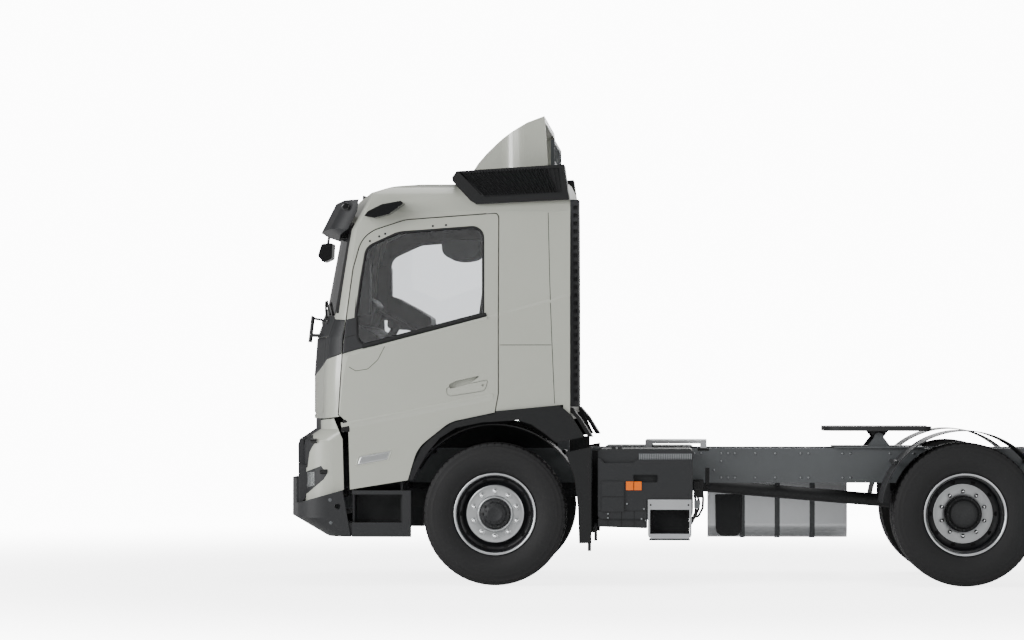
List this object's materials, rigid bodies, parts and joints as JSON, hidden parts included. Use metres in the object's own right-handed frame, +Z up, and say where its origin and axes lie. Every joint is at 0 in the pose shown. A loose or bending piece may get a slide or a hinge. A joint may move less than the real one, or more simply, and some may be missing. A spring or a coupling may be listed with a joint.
{
  "type": "semi truck tractor unit",
  "caption": "Two-axle tractor unit with a tilting sleeper cab, opening doors and front lid, steered front wheels, twin rear wheels and a tilting fifth wheel.",
  "frame": {"origin": "on the ground under the middle of the vehicle's length and width", "axes": "-X forward, +Z up, -Y the vehicle's left"},
  "size_m": [5.913, 2.66, 3.528],
  "materials": {
    "body_paint": "gloss",
    "dark_plastic": "matte",
    "clear_glass": "gloss",
    "lamp_glass": "gloss",
    "chassis_paint": "satin",
    "cast_parts": "matte",
    "aluminium": "satin",
    "tyre_rubber": "matte",
    "wheel_steel": "satin",
    "seat_fabric": "matte",
    "cab_trim": "matte",
    "tail_lens": "gloss",
    "strap_steel": "satin"
  },
  "bodies": {
    "chassis": {"corner_panels": "body_paint", "headlamp_lenses": "lamp_glass", "frame_rails": "chassis_paint", "crossmembers": "chassis_paint", "fifth_wheel_base": "chassis_paint", "engine": "cast_parts", "driveshaft": "cast_parts", "rear_axle": "cast_parts", "front_axle": "cast_parts", "springs": "cast_parts", "bumper": "dark_plastic", "headlamps": "dark_plastic", "entry_steps": "dark_plastic", "front_mudguards": "dark_plastic", "rear_mudguards": "dark_plastic", "battery_box": "dark_plastic", "silencer_box": "strap_steel", "side_step": "aluminium", "fuel_tank": "aluminium", "fuel_tank_straps": "strap_steel", "catwalk": "aluminium", "rear_lamps": "tail_lens"},
    "cab": {"cab_floor": "chassis_paint", "cab_tilt_arms": "chassis_paint", "cab_roof": "body_paint", "cab_back_wall": "body_paint", "cab_sides": "body_paint", "cab_front": "body_paint", "windshield": "clear_glass", "grille": "dark_plastic", "sun_visor": "dark_plastic", "roof_vents": "dark_plastic", "roof_deflector": "body_paint", "deflector_frame": "strap_steel", "camera_arms": "dark_plastic", "front_mirror": "dark_plastic", "intake_duct": "dark_plastic", "wheel_arches": "dark_plastic", "seats": "seat_fabric", "bunk": "cab_trim", "mattress": "seat_fabric", "dashboard": "cab_trim", "steering_wheel": "cab_trim"},
    "front_lid": {"front_lid": "body_paint"},
    "door_left": {"door_left": "body_paint", "door_left_glass": "clear_glass"},
    "door_right": {"door_right": "body_paint", "door_right_glass": "clear_glass"},
    "knuckle_left": {"knuckle_left": "cast_parts"},
    "knuckle_right": {"knuckle_right": "cast_parts"},
    "tie_rod": {"tie_rod": "cast_parts"},
    "wheel_front_left": {"tyre_front_left": "tyre_rubber", "rim_front_left": "wheel_steel"},
    "wheel_front_right": {"tyre_front_right": "tyre_rubber", "rim_front_right": "wheel_steel"},
    "wheels_rear_left": {"tyres_rear_left": "tyre_rubber", "rims_rear_left": "wheel_steel"},
    "wheels_rear_right": {"tyres_rear_right": "tyre_rubber", "rims_rear_right": "wheel_steel"},
    "fifth_wheel": {"fifth_wheel": "cast_parts"}
  },
  "joints": [
    {"name": "cab_tilt", "type": "hinge", "parent": "chassis", "child": "cab", "pos_m": [-2.8435, 0, 0.6], "axis": [0, -1, 0], "range_deg": [0, 65]},
    {"name": "front_lid_hinge", "type": "hinge", "parent": "cab", "child": "front_lid", "pos_m": [-2.7685, 0, 1.88], "axis": [0, 1, 0], "range_deg": [0, 80]},
    {"name": "door_left_hinge", "type": "hinge", "parent": "cab", "child": "door_left", "pos_m": [-2.5105, -1.235, 1.5], "axis": [0, 0, -1], "range_deg": [0, 75]},
    {"name": "door_right_hinge", "type": "hinge", "parent": "cab", "child": "door_right", "pos_m": [-2.5105, 1.235, 1.5], "axis": [0, 0, 1], "range_deg": [0, 75]},
    {"name": "steer_left", "type": "hinge", "parent": "chassis", "child": "knuckle_left", "pos_m": [-1.3435, -0.87, 0.536], "axis": [0, 0, 1], "range_deg": [-38, 38]},
    {"name": "steer_right", "type": "hinge", "parent": "chassis", "child": "knuckle_right", "pos_m": [-1.3435, 0.87, 0.536], "axis": [0, 0, 1], "range_deg": [-38, 38]},
    {"name": "tie_rod_pivot", "type": "hinge", "parent": "knuckle_left", "child": "tie_rod", "pos_m": [-1.1435, -0.87, 0.4544], "axis": [0, 0, 1], "range_deg": [-38, 38]},
    {"name": "spin_front_left", "type": "hinge", "parent": "knuckle_left", "child": "wheel_front_left", "pos_m": [-1.3435, -1.035, 0.536], "axis": [0, 1, 0], "continuous": true},
    {"name": "spin_front_right", "type": "hinge", "parent": "knuckle_right", "child": "wheel_front_right", "pos_m": [-1.3435, 1.035, 0.536], "axis": [0, 1, 0], "continuous": true},
    {"name": "spin_rear_left", "type": "hinge", "parent": "chassis", "child": "wheels_rear_left", "pos_m": [2.1565, -0.909, 0.536], "axis": [0, 1, 0], "continuous": true},
    {"name": "spin_rear_right", "type": "hinge", "parent": "chassis", "child": "wheels_rear_right", "pos_m": [2.1565, 0.909, 0.536], "axis": [0, 1, 0], "continuous": true},
    {"name": "fifth_wheel_tilt", "type": "hinge", "parent": "chassis", "child": "fifth_wheel", "pos_m": [1.5565, 0, 1.102], "axis": [0, 1, 0], "range_deg": [-12, 12]}
  ],
  "couplings": [
    {"joint": "steer_right", "follows": "steer_left", "ratio": 1},
    {"joint": "tie_rod_pivot", "follows": "steer_left", "ratio": -1}
  ]
}
